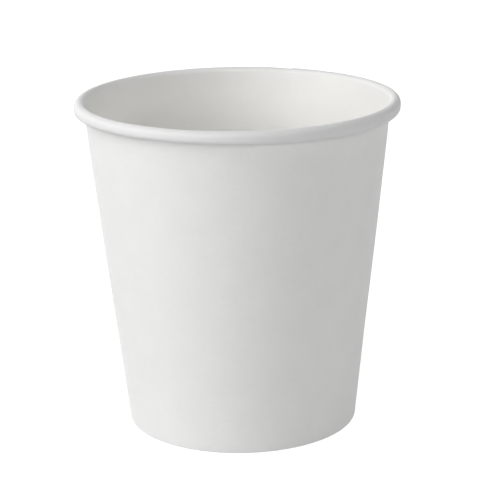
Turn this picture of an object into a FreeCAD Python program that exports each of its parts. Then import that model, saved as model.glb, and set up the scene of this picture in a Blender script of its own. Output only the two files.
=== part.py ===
import FreeCAD, Part
import math
import os
import Sketcher

# Paper coffee cup, single wall, about 190 ml
# It is pressed and rolled from two pieces of coated paperboard. The side wall is a blank
# wrapped to a cone and lapped along one seam. Its top edge is curled outwards into the rim
# bead, and its bottom edge is folded in and up as a hem. The base is a disc with its edge
# drawn down into a skirt, which the hem grips against the wall.
# Millimetres and degrees, +Z up, origin where the axis meets the table.

DIMENSIONS = {
    "cup_height": 75.2,
    "rim_diameter": 73.0,
    "base_diameter": 52.5,
    "board_thickness": 0.32,
    "bead_width": 2.55,
    "bead_run": 0.7,
    "curl_gap": 0.10,
    "fold_radius": 0.08,
    "hem_height": 5.2,
    "base_thickness": 0.28,
    "base_height": 7.2,
    "base_corner": 0.55,
    "skirt_clearance": 0.25,
    "glue_gap": 0.02,
    "seam_direction": 67.4,
    "lap_angle": 9.5,
    "ease_angle": 4.0,
}

doc = FreeCAD.newDocument("paper_coffee_cup")
sheet = doc.addObject("Spreadsheet::Sheet", "Dimensions")
for row, (alias, size) in enumerate(DIMENSIONS.items(), start=1):
    sheet.set(f"A{row}", alias)
    sheet.set(f"B{row}", str(size))
    sheet.setAlias(f"B{row}", alias)
doc.recompute()

# Formulas that more than one sketch needs, all made of the sheet's cells
BOARD = "Dimensions.board_thickness"
FOLD = "Dimensions.fold_radius"
CURL_RADIUS = "Dimensions.bead_width / 2"
CURL_X = "(Dimensions.rim_diameter - Dimensions.bead_width) / 2"
CURL_Z = "Dimensions.cup_height - Dimensions.bead_width / 2"
UNDER_RADIUS = f"(Dimensions.bead_width - {BOARD} - Dimensions.curl_gap) / 2"
FOOT_X = f"Dimensions.base_diameter / 2 - {FOLD} - {BOARD}"
FOOT_Z = f"{FOLD} + {BOARD}"
SKIRT_ROOM = "Dimensions.base_thickness + 2 * Dimensions.glue_gap"
SKIRT_END = f"{BOARD} + Dimensions.skirt_clearance"
BASE_CORNER = "Dimensions.base_corner + Dimensions.base_thickness"

# Board creases as it bends, so each bend is drawn as a few equal flats
CURL_FLATS = {"near": 4, "far": 3}
UNDER_FLATS = {"near": 3, "far": 2}
FOOT_FLATS = 1
CORNER_FLATS = 1

# Names for the sketcher's numbers of a point on an edge, and of its own origin and y axis
START, END, CENTRE = 1, 2, 3
ORIGIN, AXIS = -1, -2


def size_of(formula):
    return float(sheet.evalExpression(formula))


def point(x, z):
    return FreeCAD.Vector(x, z, 0)


def wall_slope():
    """The wall's lean, and the unit vectors across it (outwards) and along it (upwards).

    The board's inner face leaves the rim's curl on its left and meets the foot's fold on its
    right, so it is a crossing tangent of those two circles.
    """
    run_x = size_of(CURL_X) - size_of(FOOT_X)
    run_z = size_of(CURL_Z) - size_of(FOOT_Z)
    crossing = size_of(CURL_RADIUS) + size_of(FOLD)
    lean = math.atan2(run_x, run_z) - math.asin(crossing / math.hypot(run_x, run_z))
    across = point(math.cos(lean), -math.sin(lean))
    along = point(math.sin(lean), math.cos(lean))
    return lean, across, along


class Section:
    """A sketch in a plane through the cup's axis: x is the distance from it, y the height."""

    def __init__(self, body, name, azimuth=None):
        self.sketch = body.newObject("Sketcher::SketchObject", name)
        plane = next(p for p in body.Origin.OriginFeatures if p.Role == "XZ_Plane")
        self.sketch.AttachmentSupport = [(plane, "")]
        self.sketch.MapMode = "FlatFace"
        if azimuth:
            turn = FreeCAD.Rotation(point(0, 1), size_of(azimuth))
            self.sketch.AttachmentOffset = FreeCAD.Placement(FreeCAD.Vector(), turn)
            self.sketch.setExpression("AttachmentOffset.Rotation.Angle", azimuth)

    def line(self, start, end, guide=False):
        return self.sketch.addGeometry(Part.LineSegment(start, end), guide)

    def guide_arc(self, centre, radius, first, last):
        circle = Part.Circle(centre, FreeCAD.Vector(0, 0, 1), radius)
        return self.sketch.addGeometry(Part.ArcOfCircle(circle, first, last), True)

    def flats(self, arc, count):
        """Equal chords of a guide arc, from its start to its end."""
        curve = self.sketch.Geometry[arc]
        sweep = curve.LastParameter - curve.FirstParameter
        points = [curve.value(curve.FirstParameter + sweep * n / count) for n in range(count + 1)]
        edges = [self.line(start, end) for start, end in zip(points, points[1:])]
        self.rule("Coincident", edges[0], START, arc, START)
        for before, after in zip(edges, edges[1:]):
            self.rule("Coincident", before, END, after, START)
            self.rule("PointOnObject", after, START, arc)
            self.rule("Equal", before, after)
        self.rule("Coincident", edges[-1], END, arc, END)

    def cut_edge(self, near, far):
        """The board's cut edge, from a point on its near face to one on its far face."""
        ends = [self.sketch.getPoint(*corner) for corner in (near, far)]
        edge = self.line(*ends)
        self.rule("Coincident", edge, START, *near)
        self.rule("Coincident", edge, END, *far)
        return edge

    def guide_curl(self):
        """A guide arc on the outside of the curl, from its widest point to the wall."""
        lean, _, _ = wall_slope()
        centre = point(size_of(CURL_X), size_of(CURL_Z))
        curl = self.guide_arc(centre, size_of(CURL_RADIUS), 0, math.pi - lean)
        self.rule("Horizontal", curl, START, curl, CENTRE)
        self.place_centre("curl", curl, CURL_X, CURL_Z)
        self.measure("curl_radius", CURL_RADIUS, "Radius", curl)
        return curl

    def guide_fold(self, name, radius):
        """A guide arc about the foot's fold, from its lowest point to the wall."""
        lean, _, _ = wall_slope()
        centre = point(size_of(FOOT_X), size_of(FOOT_Z))
        fold = self.guide_arc(centre, size_of(radius), 1.5 * math.pi, 2 * math.pi - lean)
        self.rule("Vertical", fold, START, fold, CENTRE)
        self.place_centre(name, fold, FOOT_X, FOOT_Z)
        self.measure(f"{name}_radius", radius, "Radius", fold)
        return fold

    def rule(self, kind, *elements):
        self.sketch.addConstraint(Sketcher.Constraint(kind, *elements))

    def measure(self, name, formula, kind, *elements):
        constraint = Sketcher.Constraint(kind, *elements, size_of(formula))
        self.sketch.renameConstraint(self.sketch.addConstraint(constraint), name)
        self.sketch.setExpression(f"Constraints.{name}", formula)

    def place_centre(self, name, edge, x_formula, z_formula):
        self.measure(f"{name}_x", x_formula, "DistanceX", ORIGIN, START, edge, CENTRE)
        self.measure(f"{name}_z", z_formula, "DistanceY", ORIGIN, START, edge, CENTRE)

    def guide_wall(self, fold):
        """A guide line on the wall's inner face, from the curl to the end of the fold's arc."""
        curl = self.guide_curl()
        ends = [self.sketch.getPoint(edge, END) for edge in (curl, fold)]
        wall = self.line(*ends, guide=True)
        self.rule("Tangent", curl, END, wall, START)
        self.rule("Tangent", fold, END, wall, END)
        return wall


def ply_section(body, name, azimuth, lift):
    """One thickness of board, from the foot's fold up the wall and round the rim's curl.

    lift moves the ply towards the cup's outside, which is the inside of the curl. The near
    face is the one the drink meets, and the far face is the cup's outside.
    """
    section = Section(body, name, azimuth)
    lean, across, _ = wall_slope()
    curl = point(size_of(CURL_X), size_of(CURL_Z))
    under = point(sheet.rim_diameter / 2 - size_of(UNDER_RADIUS), curl.y - sheet.bead_run)
    foot = point(size_of(FOOT_X), size_of(FOOT_Z))
    faces = []
    for face, depth in (("near", lift), ("far", f"({lift} + {BOARD})")):
        above_radius = size_of(f"{CURL_RADIUS} - {depth}")
        below_radius = size_of(f"{UNDER_RADIUS} - {depth}")
        below = section.guide_arc(under, below_radius, math.pi, 2 * math.pi)
        run = section.line(curl + point(above_radius, 0), under + point(below_radius, 0))
        above = section.guide_arc(curl, above_radius, 0, math.pi - lean)
        wall_foot = foot + across * size_of(f"{FOLD} + {depth}")
        wall = section.line(curl - across * above_radius, wall_foot)
        fold = section.guide_fold(f"{face}_fold", f"{FOLD} + {depth}")
        section.rule("Tangent", below, END, run, END)
        section.rule("Tangent", run, START, above, START)
        section.rule("Tangent", above, END, wall, START)
        section.rule("Tangent", wall, END, fold, END)
        section.rule("Horizontal", below, START, below, CENTRE)
        section.measure(f"{face}_above", f"{CURL_RADIUS} - {depth}", "Radius", above)
        section.measure(f"{face}_below", f"{UNDER_RADIUS} - {depth}", "Radius", below)
        section.flats(above, CURL_FLATS[face])
        section.flats(below, UNDER_FLATS[face])
        faces.append((below, run, above, wall))
    (below, run, above, wall), (below_far, _, above_far, wall_far) = faces
    section.place_centre("curl", above, CURL_X, CURL_Z)
    section.rule("Coincident", above, CENTRE, above_far, CENTRE)
    section.rule("Coincident", below, CENTRE, below_far, CENTRE)
    section.rule("Vertical", run)
    section.measure("bead_run", "Dimensions.bead_run", "Distance", run)
    section.cut_edge((below, START), (below_far, START))
    section.cut_edge((wall, END), (wall_far, END))
    return section.sketch


def hem_section(body, name):
    """The foot: the board turned in under the wall, pressed flat and up again as the hem.

    The near face grips the base's skirt, and the far face is the one that is seen.
    """
    section = Section(body, name)
    lean, across, along = wall_slope()
    heel_centre = point(size_of(FOOT_X), size_of(FOOT_Z))
    pinch = (size_of(SKIRT_ROOM) - 2 * sheet.fold_radius) / math.cos(lean)
    toe_centre = heel_centre - point(pinch, 0)
    faces = []
    for face, radius_formula in (("near", FOLD), ("far", f"{FOLD} + {BOARD}")):
        radius = size_of(radius_formula)
        heel = section.guide_arc(heel_centre, radius, 1.5 * math.pi, 2 * math.pi - lean)
        flat_ends = (toe_centre - point(0, radius), heel_centre - point(0, radius))
        flat = section.line(*flat_ends, guide=face == "near")
        toe = section.guide_arc(toe_centre, radius, math.pi - lean, 1.5 * math.pi)
        hem_foot = toe_centre - across * radius
        rise = (sheet.hem_height - hem_foot.y) / math.cos(lean)
        hem = section.line(hem_foot, hem_foot + along * rise)
        section.rule("Tangent", heel, START, flat, END)
        section.rule("Tangent", flat, START, toe, END)
        section.rule("Tangent", toe, START, hem, START)
        section.measure(f"{face}_heel", radius_formula, "Radius", heel)
        section.measure(f"{face}_toe", radius_formula, "Radius", toe)
        faces.append((heel, flat, toe, hem))
    (heel, _, toe, hem), (heel_far, flat_far, toe_far, hem_far) = faces
    section.flats(heel_far, FOOT_FLATS)
    section.flats(toe_far, FOOT_FLATS)
    section.cut_edge((heel, END), (toe, START))
    section.rule("Coincident", heel, CENTRE, heel_far, CENTRE)
    section.rule("Coincident", toe, CENTRE, toe_far, CENTRE)
    section.place_centre("foot", heel, FOOT_X, FOOT_Z)
    section.rule("Horizontal", flat_far)
    wall = section.guide_wall(heel)
    section.rule("Parallel", hem, wall)
    section.rule("Parallel", hem_far, wall)
    section.measure("skirt_room", SKIRT_ROOM, "Distance", hem, START, wall)
    section.measure("hem_height", "Dimensions.hem_height", "DistanceY", ORIGIN, START, hem_far, END)
    section.rule("Perpendicular", section.cut_edge((hem, END), (hem_far, END)), hem_far)
    section.rule("Perpendicular", section.cut_edge((heel, END), (heel_far, END)), wall)
    return section.sketch


def base_section(body, name):
    """Half of the base: the flat disc, its turned corner and the skirt along the wall."""
    section = Section(body, name)
    lean, across, along = wall_slope()
    foot = point(size_of(FOOT_X), size_of(FOOT_Z))
    wall_reach = across.dot(foot) + sheet.fold_radius - sheet.glue_gap
    corner_z = sheet.base_height - size_of(BASE_CORNER)
    corner_x = (wall_reach - size_of(BASE_CORNER) - across.y * corner_z) / across.x
    corner = point(corner_x, corner_z)
    faces = []
    for face, radius_formula in (("upper", BASE_CORNER), ("lower", "Dimensions.base_corner")):
        radius = size_of(radius_formula)
        plate = section.line(point(0, corner_z + radius), corner + point(0, radius))
        turn = section.guide_arc(corner, radius, -lean, math.pi / 2)
        skirt_top = corner + across * radius
        drop = (skirt_top.y - size_of(SKIRT_END)) / math.cos(lean)
        skirt = section.line(skirt_top, skirt_top - along * drop)
        section.rule("Tangent", plate, END, turn, END)
        section.rule("Tangent", turn, START, skirt, START)
        section.rule("Horizontal", plate)
        section.rule("PointOnObject", plate, START, AXIS)
        section.measure(f"{face}_turn", radius_formula, "Radius", turn)
        section.flats(turn, CORNER_FLATS)
        faces.append((plate, turn, skirt))
    (plate, turn, skirt), (plate_under, turn_under, skirt_inside) = faces
    section.rule("Coincident", turn, CENTRE, turn_under, CENTRE)
    section.cut_edge((plate, START), (plate_under, START))
    wall = section.guide_wall(section.guide_fold("fold", FOLD))
    section.rule("Parallel", skirt, wall)
    section.rule("Parallel", skirt_inside, wall)
    section.measure("glue_gap", "Dimensions.glue_gap", "Distance", skirt, START, wall)
    section.measure("base_height", "Dimensions.base_height", "DistanceY", ORIGIN, START, plate, START)
    section.measure("skirt_end", SKIRT_END, "DistanceY", ORIGIN, START, skirt, END)
    section.rule("Perpendicular", section.cut_edge((skirt, END), (skirt_inside, END)), skirt)
    return section.sketch


def revolve(body, name, sketch, angle, backwards=False):
    feature = body.newObject("PartDesign::Revolution", name)
    feature.Profile = sketch
    feature.ReferenceAxis = (sketch, ["V_Axis"])
    feature.Reversed = backwards
    feature.setExpression("Angle", angle)
    return feature


def new_body(label):
    body = doc.addObject("PartDesign::Body", label)
    body.Label = label
    body.Placement = FreeCAD.Placement()
    return body


def make_side_wall():
    """The folded foot, the wrapped ply, and the lap where the ply's outer edge covers it.

    Going round from the seam, the ply lies on the cone until its own end passes under the
    start. There the start is lifted by one board, and eases down to the cone just beyond.
    """
    body = new_body("side_wall")
    revolve(body, "folded_foot", hem_section(body, "foot_outline"), "360")
    eased = "Dimensions.seam_direction + Dimensions.ease_angle"
    ply = ply_section(body, "ply_outline", eased, "0")
    lapped = ply_section(body, "lap_outline", "Dimensions.seam_direction", BOARD)
    revolve(body, "wrapped_ply", ply, "360 - Dimensions.ease_angle")
    revolve(body, "seam_lap", lapped, "Dimensions.lap_angle", backwards=True)
    ease = body.newObject("PartDesign::AdditiveLoft", "seam_ease")
    ease.Profile = lapped
    ease.Sections = [ply]
    ease.Ruled = True
    return body


def make_base_disc():
    body = new_body("base_disc")
    revolve(body, "drawn_base", base_section(body, "base_outline"), "360")
    return body


def check(bodies):
    for item in doc.Objects:
        if "Invalid" in item.State or "Error" in item.State:
            raise RuntimeError(f"{item.Label} failed: {item.State}")
    for body in bodies:
        shape = body.Shape
        if shape.isNull() or not shape.isValid() or len(shape.Solids) != 1:
            raise RuntimeError(f"{body.Label} is not one sound solid")


bodies = [make_side_wall(), make_base_disc()]
doc.recompute()
check(bodies)
os.makedirs("parts", exist_ok=True)
for body in bodies:
    body.Shape.exportStep(f"parts/{body.Label}.step")
    print(f"{body.Label}: {body.Shape.Volume:.1f} cubic millimetres")
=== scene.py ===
import math

import bmesh
import bpy
from mathutils import Matrix, Vector, noise


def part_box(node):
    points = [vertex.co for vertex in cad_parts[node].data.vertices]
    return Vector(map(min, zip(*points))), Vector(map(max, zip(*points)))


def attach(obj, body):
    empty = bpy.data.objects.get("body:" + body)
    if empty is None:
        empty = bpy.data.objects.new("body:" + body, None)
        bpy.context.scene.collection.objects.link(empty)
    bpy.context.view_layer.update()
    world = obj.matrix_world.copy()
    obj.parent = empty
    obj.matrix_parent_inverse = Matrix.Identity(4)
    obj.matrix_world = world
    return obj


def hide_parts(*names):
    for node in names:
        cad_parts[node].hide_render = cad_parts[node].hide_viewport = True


# Paper coffee cup: the looks
# The side wall is rebuilt as a fine mesh of one board with its curl, lap and hem, and the
# base as a dished disc with a drawn skirt. Both follow the frame's sizes. Metres.
# A section is drawn with x as the distance from the axis and y as the height.

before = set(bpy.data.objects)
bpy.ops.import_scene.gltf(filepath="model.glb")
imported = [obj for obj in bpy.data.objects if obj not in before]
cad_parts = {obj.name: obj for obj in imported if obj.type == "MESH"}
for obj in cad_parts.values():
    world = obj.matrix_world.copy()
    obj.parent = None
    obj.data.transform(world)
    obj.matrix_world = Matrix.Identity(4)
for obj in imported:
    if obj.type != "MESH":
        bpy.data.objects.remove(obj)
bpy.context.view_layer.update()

MM = 0.001

# Sizes from the frame
wall_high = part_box("side_wall")[1]
base_low, base_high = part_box("base_disc")
HEIGHT = wall_high.z
RIM_RADIUS = wall_high.x
BASE_TOP = base_high.z
SKIRT_END = base_low.z

# Sizes that a box can't tell, as in the construction
FOOT_OUTSIDE = 26.25 * MM
BOARD = 0.32 * MM
BEAD_WIDTH = 2.55 * MM
CURL_GAP = 0.10 * MM
FOLD_RADIUS = 0.08 * MM
HEM_HEIGHT = 5.2 * MM
BASE_BOARD = 0.28 * MM
BASE_CORNER = 0.55 * MM
GLUE_GAP = 0.02 * MM
SEAM = math.radians(67.4)
LAP = math.radians(9.5)

# The curl's run and tuck and the seam's ramp, which are finer here than in the construction
BEAD_RUN = 0.6 * MM
TUCK_LENGTH = 0.5 * MM
EASE = math.radians(12.0)

# What handling and forming leave in the board. The seam's press is a share of the board.
RIM_TILT = 0.18 * MM
RIM_LOWEST = math.radians(15)
BEAD_SPREAD = 0.23 * MM
BEAD_DEEPEST = math.radians(328)
SEAM_PRESS = 0.5
WAVE = 0.05 * MM
OUT_OF_ROUND = 0.07 * MM
BOW = 0.13 * MM
KNURL = 0.05 * MM
KNURL_LOW, KNURL_HIGH = 1.3 * MM, 4.4 * MM
DISH = 0.30 * MM
PLEAT = 0.05 * MM
PLEAT_REACH = 2.6 * MM

# Where up the wall each of these grows or fades, the first three as shares of the height
TILT_GROWS = (0.80, 0.96)
BOW_GROWS = (0.20, 0.60)
BOW_FADES = (0.870, 0.955)
BOARD_FREE = (1.5 * BASE_TOP, 4.5 * BASE_TOP)

# How close together the waves and pleats are, as scales of their noise
WAVE_SCALE = 1.3
WAVE_CLIMB = 2.4
CREST_SCALE = 2.0
CREST_PLACE = Vector((7, 0, 0))
PLEAT_SCALE = 9.0
FINE_PLEAT_SCALE = 17.0
FINE_PLEAT_SHARE = 0.6

# Fineness of the meshes
CURL_STEPS = 18
TUCK_STEPS = 12
WALL_STEPS = 30
FOLD_STEPS = 5
HEM_STEPS = 14
LAP_COLUMNS, EASE_COLUMNS, PLAIN_COLUMNS = 14, 18, 496
COLUMNS_TO_A_GROOVE = 4
PLATE_STEPS = 36
CORNER_STEPS = 8
SKIRT_STEPS = 5
BASE_COLUMNS = 264
FLOOR_SIDES = 96
WELD = 0.001 * MM
SHARP = math.radians(32)

# Materials, as numbered on a mesh
OUTSIDE, INSIDE, EDGE = 0, 1, 2
WHITE = (1, 1, 1)

# Where painted shade greys the board towards the curl, in bead widths inwards from the rim
CURL_SHADE_STARTS, CURL_SHADE_FULL = 1.2, 0.7

# Floor, room and lamps
FLOOR_REACH = 1.3
FLOOR_SEEN = 0.52
FLOOR_GLOW = 0.88
FLOOR_BOUNCE = 0.40
# How strongly the floor glows to the cup at its left and right: painted fill light
FILL_GLOW_LEFT, FILL_GLOW_RIGHT = 0.12, 0.24
ROOM_LIGHT = 0.01
LAMP_DISTANCE = 1.2

# Worked out from those
CURL_RADIUS = BEAD_WIDTH / 2
FOOT_RADIUS = FOLD_RADIUS + BOARD
CURL = Vector((RIM_RADIUS - CURL_RADIUS, HEIGHT - CURL_RADIUS))
HEEL = Vector((FOOT_OUTSIDE - FOOT_RADIUS, FOOT_RADIUS))
REACH = CURL - HEEL
LEAN = math.atan2(REACH.x, REACH.y) - math.asin((CURL_RADIUS + FOLD_RADIUS) / REACH.length)
ACROSS = Vector((math.cos(LEAN), -math.sin(LEAN)))
ALONG = Vector((math.sin(LEAN), math.cos(LEAN)))
TOE = HEEL - Vector(((BASE_BOARD + 2 * GLUE_GAP - 2 * FOLD_RADIUS) / math.cos(LEAN), 0))
OUTWARDS = Vector((1, 0))
DOWNWARDS = Vector((0, -1))


def arc_path(centre, radius, first, last, count, inwards):
    """Points round an arc, each with the direction in which the board lies from there."""
    path = []
    for i in range(count + 1):
        angle = first + (last - first) * i / count
        out = Vector((math.cos(angle), math.sin(angle)))
        path.append((centre + out * radius, -out if inwards else out))
    return path


def line_path(start, end, direction, count):
    """Points after the start, up to the end, all with one direction."""
    path = [(start.lerp(end, i / count), direction) for i in range(1, count)]
    return path + [(end, direction)]


def ply_path(azimuth, shrink):
    """The board's near face from the tucked edge of the curl down to the foot's fold.

    The tuck's turn is narrower by the shrink, where the seam lifts the board's far face.
    """
    run = BEAD_RUN + BEAD_SPREAD * math.cos(2 * (azimuth - BEAD_DEEPEST))
    under_radius = (BEAD_WIDTH - BOARD - CURL_GAP - shrink) / 2
    under = Vector((RIM_RADIUS - under_radius, CURL.y - run))
    tuck_foot = under - Vector((under_radius, 0))
    tuck_top = tuck_foot + Vector((0, TUCK_LENGTH))
    path = [(tuck_top, OUTWARDS)]
    path += arc_path(under, under_radius, -math.pi, 0, TUCK_STEPS, inwards=True)
    path += arc_path(CURL, CURL_RADIUS, 0, math.pi - LEAN, CURL_STEPS, inwards=True)
    wall_top = path[-1][0]
    path += line_path(wall_top, HEEL + ACROSS * FOLD_RADIUS, ACROSS, WALL_STEPS)
    return path


def foot_path():
    """The board's near face round the foot's fold and up the hem."""
    path = arc_path(HEEL, FOLD_RADIUS, -LEAN, -math.pi / 2, FOLD_STEPS, inwards=False)
    path += arc_path(TOE, FOLD_RADIUS, -math.pi / 2, LEAN - math.pi, FOLD_STEPS, inwards=False)
    hem_foot = path[-1][0]
    hem_top = hem_foot + ALONG * ((HEM_HEIGHT - hem_foot.y) / math.cos(LEAN))
    return path + line_path(hem_foot, hem_top, -ACROSS, HEM_STEPS)


def columns():
    """Directions round the cup: azimuth, and how far the near and far faces are lifted.

    Pressing the seam leaves the two plies thinner together than apart.
    """
    found = []
    for i in range(LAP_COLUMNS + 1):
        found.append((SEAM - LAP + LAP * i / LAP_COLUMNS, 0, SEAM_PRESS))
    for i in range(EASE_COLUMNS + 1):
        lift = SEAM_PRESS * (0.5 + 0.5 * math.cos(math.pi * i / EASE_COLUMNS))
        found.append((SEAM + EASE * i / EASE_COLUMNS, lift, lift))
    turn = 2 * math.pi - LAP - EASE
    for i in range(1, PLAIN_COLUMNS + 1):
        found.append((SEAM + EASE + turn * i / PLAIN_COLUMNS, 0, 0))
    return found


def part_way(value, low, high):
    """How far a value is from low to high, held within 0 and 1."""
    return min(1.0, max(0.0, (value - low) / (high - low)))


def rise(value, low, high):
    """0 below low, 1 above high, and a smooth step between."""
    part = part_way(value, low, high)
    return part * part * (3 - 2 * part)


def settle(azimuth, spot):
    """Moves a point of the side wall as the board's own unevenness does."""
    height = spot.y / HEIGHT
    around = Vector((math.cos(azimuth), math.sin(azimuth), 0)) * WAVE_SCALE
    climb = Vector((0, 0, WAVE_CLIMB * height))
    ripple = noise.noise(around + climb) * math.sin(math.pi * height)
    oval = 0.5 * math.cos(2 * azimuth) - 0.5
    uneven = part_way(spot.y, *BOARD_FREE) * (WAVE * ripple + OUT_OF_ROUND * oval * height)
    bowed = BOW * rise(height, *BOW_GROWS) * (1 - rise(height, *BOW_FADES))
    radius = spot.x + uneven + bowed
    crest = noise.noise(around * CREST_SCALE + CREST_PLACE) - 0.5
    tilted = RIM_TILT * (1 + math.cos(azimuth - RIM_LOWEST))
    sunk = part_way(height, *TILT_GROWS) * (tilted - WAVE * crest / 2)
    return Vector((radius * math.cos(azimuth), radius * math.sin(azimuth), spot.y - sunk))


def add_mesh(name, rings):
    """A closed skin over rings of points round the cup.

    Each ring goes along the board's inner face, over its cut edge, and back along its
    outer face to the other cut edge.
    """
    rows = len(rings[0])
    face_rows = rows // 2 - 1
    kinds = [INSIDE] * face_rows + [EDGE] + [OUTSIDE] * face_rows + [EDGE]
    points = [tuple(spot) for ring in rings for spot in ring]
    faces, materials = [], []
    for j in range(len(rings)):
        here, there = j * rows, (j + 1) % len(rings) * rows
        for i in range(rows):
            k = (i + 1) % rows
            faces.append((here + i, there + i, there + k, here + k))
            materials.append(kinds[i])
    mesh = bpy.data.meshes.new(name)
    mesh.from_pydata(points, [], faces)
    mesh.polygons.foreach_set("material_index", materials)
    welded = bmesh.new()
    welded.from_mesh(mesh)
    bmesh.ops.remove_doubles(welded, verts=welded.verts, dist=WELD)
    bmesh.ops.recalc_face_normals(welded, faces=welded.faces)
    welded.to_mesh(mesh)
    welded.free()
    mesh.polygons.foreach_set("use_smooth", [True] * len(mesh.polygons))
    mesh.set_sharp_from_angle(angle=SHARP)
    piece = bpy.data.objects.new(name, mesh)
    bpy.context.scene.collection.objects.link(piece)
    return piece


def knurled(spot, out, column):
    """The foot's far face opposite a point of its near face, with the hem's grooves."""
    face = spot + out * BOARD
    if KNURL_LOW < face.y < KNURL_HIGH and out.x < 0:
        groove = (1 - math.sin(2 * math.pi * column / COLUMNS_TO_A_GROOVE)) / 2
        face = face - out * KNURL * groove
    return face


def build_side_wall():
    """The wrapped blank, from the tucked edge of its curl to the top of its hem."""
    foot = foot_path()
    rings = []
    for column, (azimuth, near_lift, far_lift) in enumerate(columns()):
        ply = ply_path(azimuth, BOARD * far_lift)
        near = [spot + out * BOARD * near_lift for spot, out in ply]
        far = [spot + out * BOARD * (1 + far_lift) for spot, out in ply]
        near += [spot for spot, out in foot]
        far += [knurled(spot, out, column) for spot, out in foot]
        rings.append([settle(azimuth, spot) for spot in near + far[::-1]])
    return add_mesh("side_wall_board", rings)


def base_path():
    """The base's upper face from the centre over the drawn corner to the skirt's end.

    Also the corner's own centre, from which the dish and the pleats are measured.
    """
    wall_reach = ACROSS.dot(HEEL) + FOLD_RADIUS - GLUE_GAP
    outer_turn = BASE_CORNER + BASE_BOARD
    corner_z = BASE_TOP - outer_turn
    corner = Vector(((wall_reach - outer_turn - ACROSS.y * corner_z) / ACROSS.x, corner_z))
    turn = arc_path(corner, outer_turn, math.pi / 2, -LEAN, CORNER_STEPS, inwards=True)
    centre = Vector((0, BASE_TOP))
    plate_edge, skirt_top = turn[0][0], turn[-1][0]
    skirt_foot = skirt_top - ALONG * ((corner.y - SKIRT_END) / math.cos(LEAN))
    path = [(centre, DOWNWARDS)]
    path += line_path(centre, plate_edge, DOWNWARDS, PLATE_STEPS)
    path += turn[1:]
    path += line_path(skirt_top, skirt_foot, -ACROSS, SKIRT_STEPS)
    return path, corner


def build_base():
    """The dished disc, its drawn corner with small puckers, and the skirt."""
    path, corner = base_path()
    rings = []
    for column in range(BASE_COLUMNS):
        azimuth = 2 * math.pi * column / BASE_COLUMNS
        around = Vector((math.cos(azimuth), math.sin(azimuth), 0))
        coarse = abs(noise.noise(around * PLEAT_SCALE))
        fine = abs(noise.noise(around * FINE_PLEAT_SCALE))
        pleat = PLEAT * (coarse + FINE_PLEAT_SHARE * fine)
        upper, lower = [], []
        for spot, out in path:
            sunk = DISH * max(0.0, 1 - (spot.x / corner.x) ** 2)
            if spot.y > corner.y:
                sunk += pleat * max(0.0, 1 - abs(spot.x - corner.x) / PLEAT_REACH)
            moved = spot + DOWNWARDS * sunk
            upper.append(moved)
            lower.append(moved + out * BASE_BOARD)
        section = upper + lower[::-1]
        rings.append([Vector((spot.x * around.x, spot.x * around.y, spot.y)) for spot in section])
    return add_mesh("base_disc_board", rings)


def compute(nodes, links, operation, first, second):
    """A maths node over a node's output and either a number or another node's output."""
    node = nodes.new("ShaderNodeMath")
    node.operation = operation
    links.new(first, node.inputs[0])
    if isinstance(second, float):
        node.inputs[1].default_value = second
    else:
        links.new(second, node.inputs[1])
    return node.outputs[0]


def spread(nodes, links, value, start, end, low, high):
    """Takes a value from start to end over to low to high, and holds it there beyond."""
    span = nodes.new("ShaderNodeMapRange")
    span.inputs["From Min"].default_value = start
    span.inputs["From Max"].default_value = end
    span.inputs["To Min"].default_value = low
    span.inputs["To Max"].default_value = high
    links.new(value, span.inputs["Value"])
    return span.outputs["Result"]


def either(nodes, links, choice, first, second):
    """The first shader where the choice is 0, and the second where it is 1."""
    mix = nodes.new("ShaderNodeMixShader")
    links.new(choice, mix.inputs["Fac"])
    links.new(first, mix.inputs[1])
    links.new(second, mix.inputs[2])
    return mix.outputs[0]


def direct_ray(nodes, links):
    """1 for what the camera sees, also by reflection or through glass."""
    path = nodes.new("ShaderNodeLightPath")
    seen = path.outputs["Is Camera Ray"]
    for ray in ("Is Glossy Ray", "Is Transmission Ray"):
        seen = compute(nodes, links, "MAXIMUM", seen, path.outputs[ray])
    return seen


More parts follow.
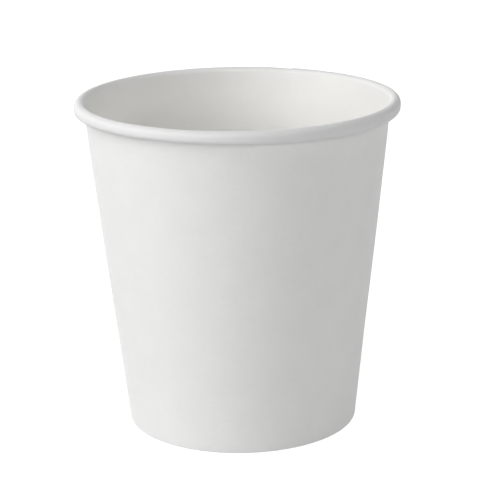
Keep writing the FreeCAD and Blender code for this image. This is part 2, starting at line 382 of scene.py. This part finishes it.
class Shades:
    """A procedural material under construction."""

    def __init__(self, name, roughness, specular):
        self.material = bpy.data.materials.new(name)
        self.material.use_nodes = True
        self.nodes = self.material.node_tree.nodes
        self.links = self.material.node_tree.links
        self.shader = self.nodes["Principled BSDF"]
        self.shader.inputs["Roughness"].default_value = roughness
        self.shader.inputs["Specular IOR Level"].default_value = specular
        self.place = self.nodes.new("ShaderNodeTexCoord").outputs["Object"]

    def stretched(self, scales):
        """The place in the object's own space, scaled along each axis."""
        mapping = self.nodes.new("ShaderNodeMapping")
        mapping.inputs["Scale"].default_value = scales
        self.links.new(self.place, mapping.inputs["Vector"])
        return mapping.outputs["Vector"]

    def grain(self, scale, detail, scales=(1, 1, 1)):
        """Noise in the object's own space."""
        texture = self.nodes.new("ShaderNodeTexNoise")
        texture.inputs["Scale"].default_value = scale
        texture.inputs["Detail"].default_value = detail
        self.links.new(self.stretched(scales), texture.inputs["Vector"])
        return texture.outputs["Fac"]

    def blend(self, driver, below, above, low=0.0, high=1.0):
        """One colour where the driver is below low, the other where it is above high."""
        ramp = self.nodes.new("ShaderNodeValToRGB")
        ramp.color_ramp.elements[0].position = low
        ramp.color_ramp.elements[1].position = high
        ramp.color_ramp.elements[0].color = (*below, 1)
        ramp.color_ramp.elements[1].color = (*above, 1)
        self.links.new(driver, ramp.inputs["Fac"])
        return ramp.outputs["Color"]

    def multiply(self, first, second):
        mix = self.nodes.new("ShaderNodeMix")
        mix.data_type = "RGBA"
        mix.blend_type = "MULTIPLY"
        mix.inputs["Factor"].default_value = 1.0
        self.links.new(first, mix.inputs["A"])
        self.links.new(second, mix.inputs["B"])
        return mix.outputs["Result"]

    def specks(self, scale, size, rarity, tint):
        """Small flecks in the pulp: cells of a pattern below the rarity hold none."""
        cells = self.nodes.new("ShaderNodeTexVoronoi")
        cells.inputs["Scale"].default_value = scale
        self.links.new(self.place, cells.inputs["Vector"])
        chosen = compute(self.nodes, self.links, "GREATER_THAN", cells.outputs["Color"], rarity)
        near = compute(self.nodes, self.links, "LESS_THAN", cells.outputs["Distance"], size)
        both = compute(self.nodes, self.links, "MULTIPLY", chosen, near)
        return self.blend(both, below=WHITE, above=tint)

    def painted_curl_shade(self):
        """Where the painted shade falls: 0 down the wall, 1 on the outer part of the curl, by the
        distance from the axis.
        """
        reach = self.nodes.new("ShaderNodeVectorMath")
        reach.operation = "LENGTH"
        self.links.new(self.stretched((1, 1, 0)), reach.inputs[0])
        start = RIM_RADIUS - CURL_SHADE_STARTS * BEAD_WIDTH
        end = RIM_RADIUS - CURL_SHADE_FULL * BEAD_WIDTH
        return spread(self.nodes, self.links, reach.outputs["Value"], start, end, 0.0, 1.0)

    def paint(self, colour):
        self.links.new(colour, self.shader.inputs["Base Color"])

    def bump(self, height, strength, depth):
        relief = self.nodes.new("ShaderNodeBump")
        relief.inputs["Strength"].default_value = strength
        relief.inputs["Distance"].default_value = depth
        self.links.new(height, relief.inputs["Height"])
        self.links.new(relief.outputs["Normal"], self.shader.inputs["Normal"])


def outside_board():
    """Uncoated white board: cloudy, with fine fibres, rare flecks and an upright grain."""
    shades = Shades("white board outside", roughness=0.62, specular=0.35)
    cloud = shades.blend(
        shades.grain(scale=160, detail=3),
        below=(0.866, 0.864, 0.858), above=(0.886, 0.884, 0.879), low=0.3, high=0.7)
    fibre = shades.blend(
        shades.grain(scale=1500, detail=2),
        below=(0.985, 0.985, 0.984), above=WHITE, low=0.35, high=0.65)
    flecks = shades.specks(scale=300, size=0.055, rarity=0.78, tint=(0.88, 0.865, 0.84))
    shades.paint(shades.multiply(shades.multiply(cloud, fibre), flecks))
    relief = shades.grain(scale=1100, detail=4, scales=(1, 1, 0.45))
    shades.bump(relief, strength=0.25, depth=0.02 * MM)
    return shades.material


def inside_board():
    """The coated side: smoother and slightly warm, with painted shade greying the curl."""
    shades = Shades("white board coated", roughness=0.55, specular=0.15)
    cloud = shades.blend(
        shades.grain(scale=120, detail=3),
        below=(0.916, 0.910, 0.886), above=(0.934, 0.928, 0.905), low=0.3, high=0.7)
    fibre = shades.blend(
        shades.grain(scale=1300, detail=2),
        below=(0.990, 0.990, 0.989), above=WHITE, low=0.35, high=0.65)
    # Painted shade: the curl is greyed to darken it, though the coated board itself is no greyer
    # there.
    curl = shades.blend(shades.painted_curl_shade(), below=WHITE, above=(0.890, 0.897, 0.917))
    shades.paint(shades.multiply(shades.multiply(cloud, fibre), curl))
    relief = shades.grain(scale=700, detail=3, scales=(1, 1, 0.5))
    shades.bump(relief, strength=0.18, depth=0.015 * MM)
    return shades.material


def raw_edge():
    """The cut edge, where the pulp's layers show."""
    shades = Shades("cut board edge", roughness=0.85, specular=0.2)
    layers = shades.blend(
        shades.grain(scale=2600, detail=4),
        below=(0.79, 0.775, 0.74), above=(0.87, 0.86, 0.835), low=0.3, high=0.7)
    shades.paint(layers)
    shades.bump(shades.grain(scale=2200, detail=3), strength=0.4, depth=0.02 * MM)
    return shades.material


def matt_and_glowing(nodes, links, share):
    """A matt surface that sends back a share of its light and glows besides.

    Returns the shader, and the input that sets how strongly it glows.
    """
    matt = nodes.new("ShaderNodeBsdfDiffuse")
    matt.inputs["Color"].default_value = (share, share, share, 1)
    glow = nodes.new("ShaderNodeEmission")
    both = nodes.new("ShaderNodeAddShader")
    links.new(matt.outputs[0], both.inputs[0])
    links.new(glow.outputs[0], both.inputs[1])
    return both.outputs[0], glow.inputs["Strength"]


def painted_fill_glow(nodes, links):
    """The floor's painted glow to the cup, stronger on its right side, in place of a white card
    there.
    """
    surface = nodes.new("ShaderNodeNewGeometry")
    parts = nodes.new("ShaderNodeSeparateXYZ")
    links.new(surface.outputs["Position"], parts.inputs[0])
    right = parts.outputs["X"]
    return spread(nodes, links, right, -FOOT_OUTSIDE, FOOT_OUTSIDE, FILL_GLOW_LEFT, FILL_GLOW_RIGHT)


def floor_material():
    """White to the camera, duller to the cup but with a painted glow that lights it, and clear
    from below.

    What the camera sees takes the cup's shadow, but is so bright that this clips to white.
    """
    material = bpy.data.materials.new("pale floor")
    material.use_nodes = True
    nodes, links = material.node_tree.nodes, material.node_tree.links
    nodes.remove(nodes["Principled BSDF"])
    shown, shown_glow = matt_and_glowing(nodes, links, FLOOR_SEEN)
    shown_glow.default_value = FLOOR_GLOW
    # Painted fill light: what the cup sees of the floor glows, more on the right.
    felt, felt_glow = matt_and_glowing(nodes, links, FLOOR_BOUNCE)
    links.new(painted_fill_glow(nodes, links), felt_glow)
    above = either(nodes, links, direct_ray(nodes, links), felt, shown)
    clear = nodes.new("ShaderNodeBsdfTransparent")
    surface = nodes.new("ShaderNodeNewGeometry")
    whole = either(nodes, links, surface.outputs["Backfacing"], above, clear.outputs[0])
    links.new(whole, nodes["Material Output"].inputs["Surface"])
    return material


def build_floor():
    """A round white sheet that ends before the lamps' light on it fades."""
    mesh = bpy.data.meshes.new("floor")
    turns = [2 * math.pi * i / FLOOR_SIDES for i in range(FLOOR_SIDES)]
    rim = [(FLOOR_REACH * math.cos(turn), FLOOR_REACH * math.sin(turn), 0) for turn in turns]
    mesh.from_pydata(rim, [], [range(FLOOR_SIDES)])
    mesh.materials.append(floor_material())
    floor = bpy.data.objects.new("floor", mesh)
    bpy.context.scene.collection.objects.link(floor)


def build_world():
    """A room that is white to the camera and nearly dark to the cup."""
    world = bpy.data.worlds.new("studio")
    bpy.context.scene.world = world
    world.use_nodes = True
    nodes, links = world.node_tree.nodes, world.node_tree.links
    room = nodes["Background"]
    room.inputs["Color"].default_value = (*WHITE, 1)
    room.inputs["Strength"].default_value = ROOM_LIGHT
    white = nodes.new("ShaderNodeBackground")
    white.inputs["Color"].default_value = (*WHITE, 1)
    white.inputs["Strength"].default_value = 1.0
    whole = either(nodes, links, direct_ray(nodes, links), room.outputs[0], white.outputs[0])
    links.new(whole, nodes["World Output"].inputs["Surface"])


def add_lamp(name, azimuth, elevation, size, power):
    """A soft square lamp that looks at the middle of the cup."""
    turn, climb = math.radians(azimuth), math.radians(elevation)
    level = math.cos(climb)
    out = Vector((math.cos(turn) * level, math.sin(turn) * level, math.sin(climb)))
    light = bpy.data.lights.new(name, "AREA")
    light.size = size
    light.energy = power
    lamp = bpy.data.objects.new(name, light)
    lamp.location = Vector((0, 0, HEIGHT / 2)) + out * LAMP_DISTANCE
    lamp.rotation_euler = out.to_track_quat("Z", "Y").to_euler()
    bpy.context.scene.collection.objects.link(lamp)


def build_lamps():
    """A large key on the left with its low helper, and weaker lamps all round."""
    add_lamp("key", azimuth=195, elevation=44, size=0.9, power=8.8)
    add_lamp("low key", azimuth=198, elevation=14, size=0.7, power=3.8)
    add_lamp("front left", azimuth=245, elevation=16, size=0.7, power=2.0)
    add_lamp("front", azimuth=290, elevation=20, size=0.5, power=3.35)
    add_lamp("top", azimuth=200, elevation=82, size=0.9, power=0.7)
    add_lamp("back right", azimuth=20, elevation=22, size=0.5, power=2.8)
    add_lamp("back", azimuth=105, elevation=14, size=0.9, power=4.0)


def build_camera():
    """The photograph's viewpoint: a long lens, a little above the rim, barely rolled."""
    place = Vector((0, -412.0, 160.9)) * MM
    aim = Vector((0.96, 0, 40.4)) * MM
    roll = math.radians(-1.05)
    forward = (aim - place).normalized()
    right = forward.cross(Vector((0, 0, 1))).normalized()
    up = right.cross(forward)
    across = right * math.cos(roll) + up * math.sin(roll)
    upright = up * math.cos(roll) - right * math.sin(roll)
    lens = bpy.data.cameras.new("camera")
    lens.lens = 138.0
    lens.sensor_width = 36.0
    lens.clip_start = 0.01
    lens.clip_end = 50
    camera = bpy.data.objects.new("camera", lens)
    camera.matrix_world = Matrix((across, upright, -forward)).transposed().to_4x4()
    camera.location = place
    bpy.context.scene.collection.objects.link(camera)
    bpy.context.scene.camera = camera


def dress(piece, materials, node):
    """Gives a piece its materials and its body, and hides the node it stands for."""
    for material in materials:
        piece.data.materials.append(material)
    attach(piece, "root")
    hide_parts(node)


board = [outside_board(), inside_board(), raw_edge()]
dress(build_side_wall(), board, "side_wall")
dress(build_base(), board, "base_disc")
build_floor()
build_world()
build_lamps()
build_camera()
bpy.context.scene.view_settings.view_transform = "Standard"
